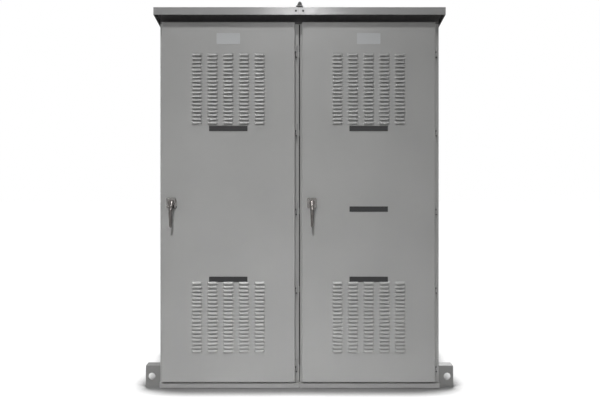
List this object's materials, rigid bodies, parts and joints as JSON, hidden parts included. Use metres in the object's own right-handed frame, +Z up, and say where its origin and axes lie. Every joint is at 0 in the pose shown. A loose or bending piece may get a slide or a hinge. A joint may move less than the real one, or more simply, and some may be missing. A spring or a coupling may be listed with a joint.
{
  "type": "roadside utility cabinet",
  "caption": "Two-bay grey outdoor switchgear cabinet with tall louvred doors, lever handles, a sloping roof and a base with lifting ends.",
  "frame": {"origin": "on the ground under the middle of the cabinet's bounding box", "axes": "+X to the right seen from the front, -Y out of the doors, +Z up"},
  "size_m": [2.02, 1.129, 2.5483],
  "materials": {
    "grey_paint": "satin",
    "base_paint": "satin",
    "black_steel": "matte",
    "zinc_steel": "satin",
    "chromed_casting": "polished",
    "black_rubber": "matte",
    "filter_pad": "matte",
    "white_pan": "gloss",
    "dark_moulding": "matte",
    "cast_resin": "gloss",
    "bus_copper": "satin"
  },
  "bodies": {
    "cabinet": {"left_side_panel": "grey_paint", "right_side_panel": "grey_paint", "left_latch_post": "grey_paint", "left_hinge_post": "grey_paint", "right_latch_post": "grey_paint", "right_hinge_post": "grey_paint", "left_header": "grey_paint", "right_header": "grey_paint", "left_sill": "grey_paint", "right_sill": "grey_paint", "rear_centre_post": "grey_paint", "rear_top_rail": "grey_paint", "left_rear_cover": "grey_paint", "right_rear_cover": "grey_paint", "left_roof": "grey_paint", "right_roof": "grey_paint", "roof_splice": "grey_paint", "hinge_frame_leaves": "grey_paint", "base_front_channel": "base_paint", "base_rear_channel": "base_paint", "base_cross_rails": "base_paint", "lifting_eyes": "black_steel", "left_floor_plate": "zinc_steel", "right_floor_plate": "zinc_steel", "bay_partition": "zinc_steel", "rear_cover_bolts": "zinc_steel", "roof_screws": "zinc_steel", "hinge_pins": "zinc_steel", "pan_brackets": "zinc_steel", "left_mounting_pan": "white_pan", "right_mounting_pan": "white_pan", "upper_breaker": "dark_moulding", "lower_breaker": "dark_moulding", "earth_fault_relay": "dark_moulding", "voltage_transformers": "cast_resin", "phase_bus_bars": "bus_copper", "earth_bar": "bus_copper"},
    "left_door_leaf": {"left_door": "grey_paint", "left_door_gasket": "black_rubber", "left_filters": "filter_pad", "left_hinge_door_leaves": "grey_paint", "left_handle_base": "chromed_casting", "left_rod_guides": "zinc_steel"},
    "left_latch": {"left_handle": "chromed_casting", "left_latch_cam": "zinc_steel"},
    "left_rod_up": {"left_upper_rod": "zinc_steel"},
    "left_rod_down": {"left_lower_rod": "zinc_steel"},
    "right_door_leaf": {"right_door": "grey_paint", "right_door_gasket": "black_rubber", "right_filters": "filter_pad", "right_hinge_door_leaves": "grey_paint", "right_handle_base": "chromed_casting", "right_rod_guides": "zinc_steel"},
    "right_latch": {"right_handle": "chromed_casting", "right_latch_cam": "zinc_steel"},
    "right_rod_up": {"right_upper_rod": "zinc_steel"},
    "right_rod_down": {"right_lower_rod": "zinc_steel"},
    "upper_toggle": {"upper_breaker_toggle": "dark_moulding"},
    "lower_toggle": {"lower_breaker_toggle": "dark_moulding"}
  },
  "joints": [
    {"name": "left_door_swing", "type": "hinge", "parent": "cabinet", "child": "left_door_leaf", "pos_m": [-0.021, -0.467, 1.175], "axis": [0, 0, 1], "range_deg": [0, 95]},
    {"name": "left_handle_turn", "type": "hinge", "parent": "left_door_leaf", "child": "left_latch", "pos_m": [-0.8325, -0.51, 1.212], "axis": [0, -1, 0], "range_deg": [0, 90]},
    {"name": "left_upper_rod_slide", "type": "slide", "parent": "left_door_leaf", "child": "left_rod_up", "axis": [0, 0, 1], "range_m": [-0.03131, 0]},
    {"name": "left_lower_rod_slide", "type": "slide", "parent": "left_door_leaf", "child": "left_rod_down", "axis": [0, 0, 1], "range_m": [0, 0.03131]},
    {"name": "right_door_swing", "type": "hinge", "parent": "cabinet", "child": "right_door_leaf", "pos_m": [0.893, -0.467, 1.175], "axis": [0, 0, 1], "range_deg": [0, 95]},
    {"name": "right_handle_turn", "type": "hinge", "parent": "right_door_leaf", "child": "right_latch", "pos_m": [0.0815, -0.51, 1.212], "axis": [0, -1, 0], "range_deg": [0, 90]},
    {"name": "right_upper_rod_slide", "type": "slide", "parent": "right_door_leaf", "child": "right_rod_up", "axis": [0, 0, 1], "range_m": [-0.03131, 0]},
    {"name": "right_lower_rod_slide", "type": "slide", "parent": "right_door_leaf", "child": "right_rod_down", "axis": [0, 0, 1], "range_m": [0, 0.03131]},
    {"name": "upper_toggle_throw", "type": "hinge", "parent": "cabinet", "child": "upper_toggle", "pos_m": [-0.457, 0.105, 1.56], "axis": [1, 0, 0], "range_deg": [-25, 25]},
    {"name": "lower_toggle_throw", "type": "hinge", "parent": "cabinet", "child": "lower_toggle", "pos_m": [-0.457, 0.105, 0.64], "axis": [1, 0, 0], "range_deg": [-25, 25]}
  ],
  "couplings": [
    {"joint": "left_upper_rod_slide", "follows": "left_handle_turn", "m_per_rad": -0.019807},
    {"joint": "left_lower_rod_slide", "follows": "left_handle_turn", "m_per_rad": 0.019807},
    {"joint": "right_upper_rod_slide", "follows": "right_handle_turn", "m_per_rad": -0.019807},
    {"joint": "right_lower_rod_slide", "follows": "right_handle_turn", "m_per_rad": 0.019807}
  ]
}
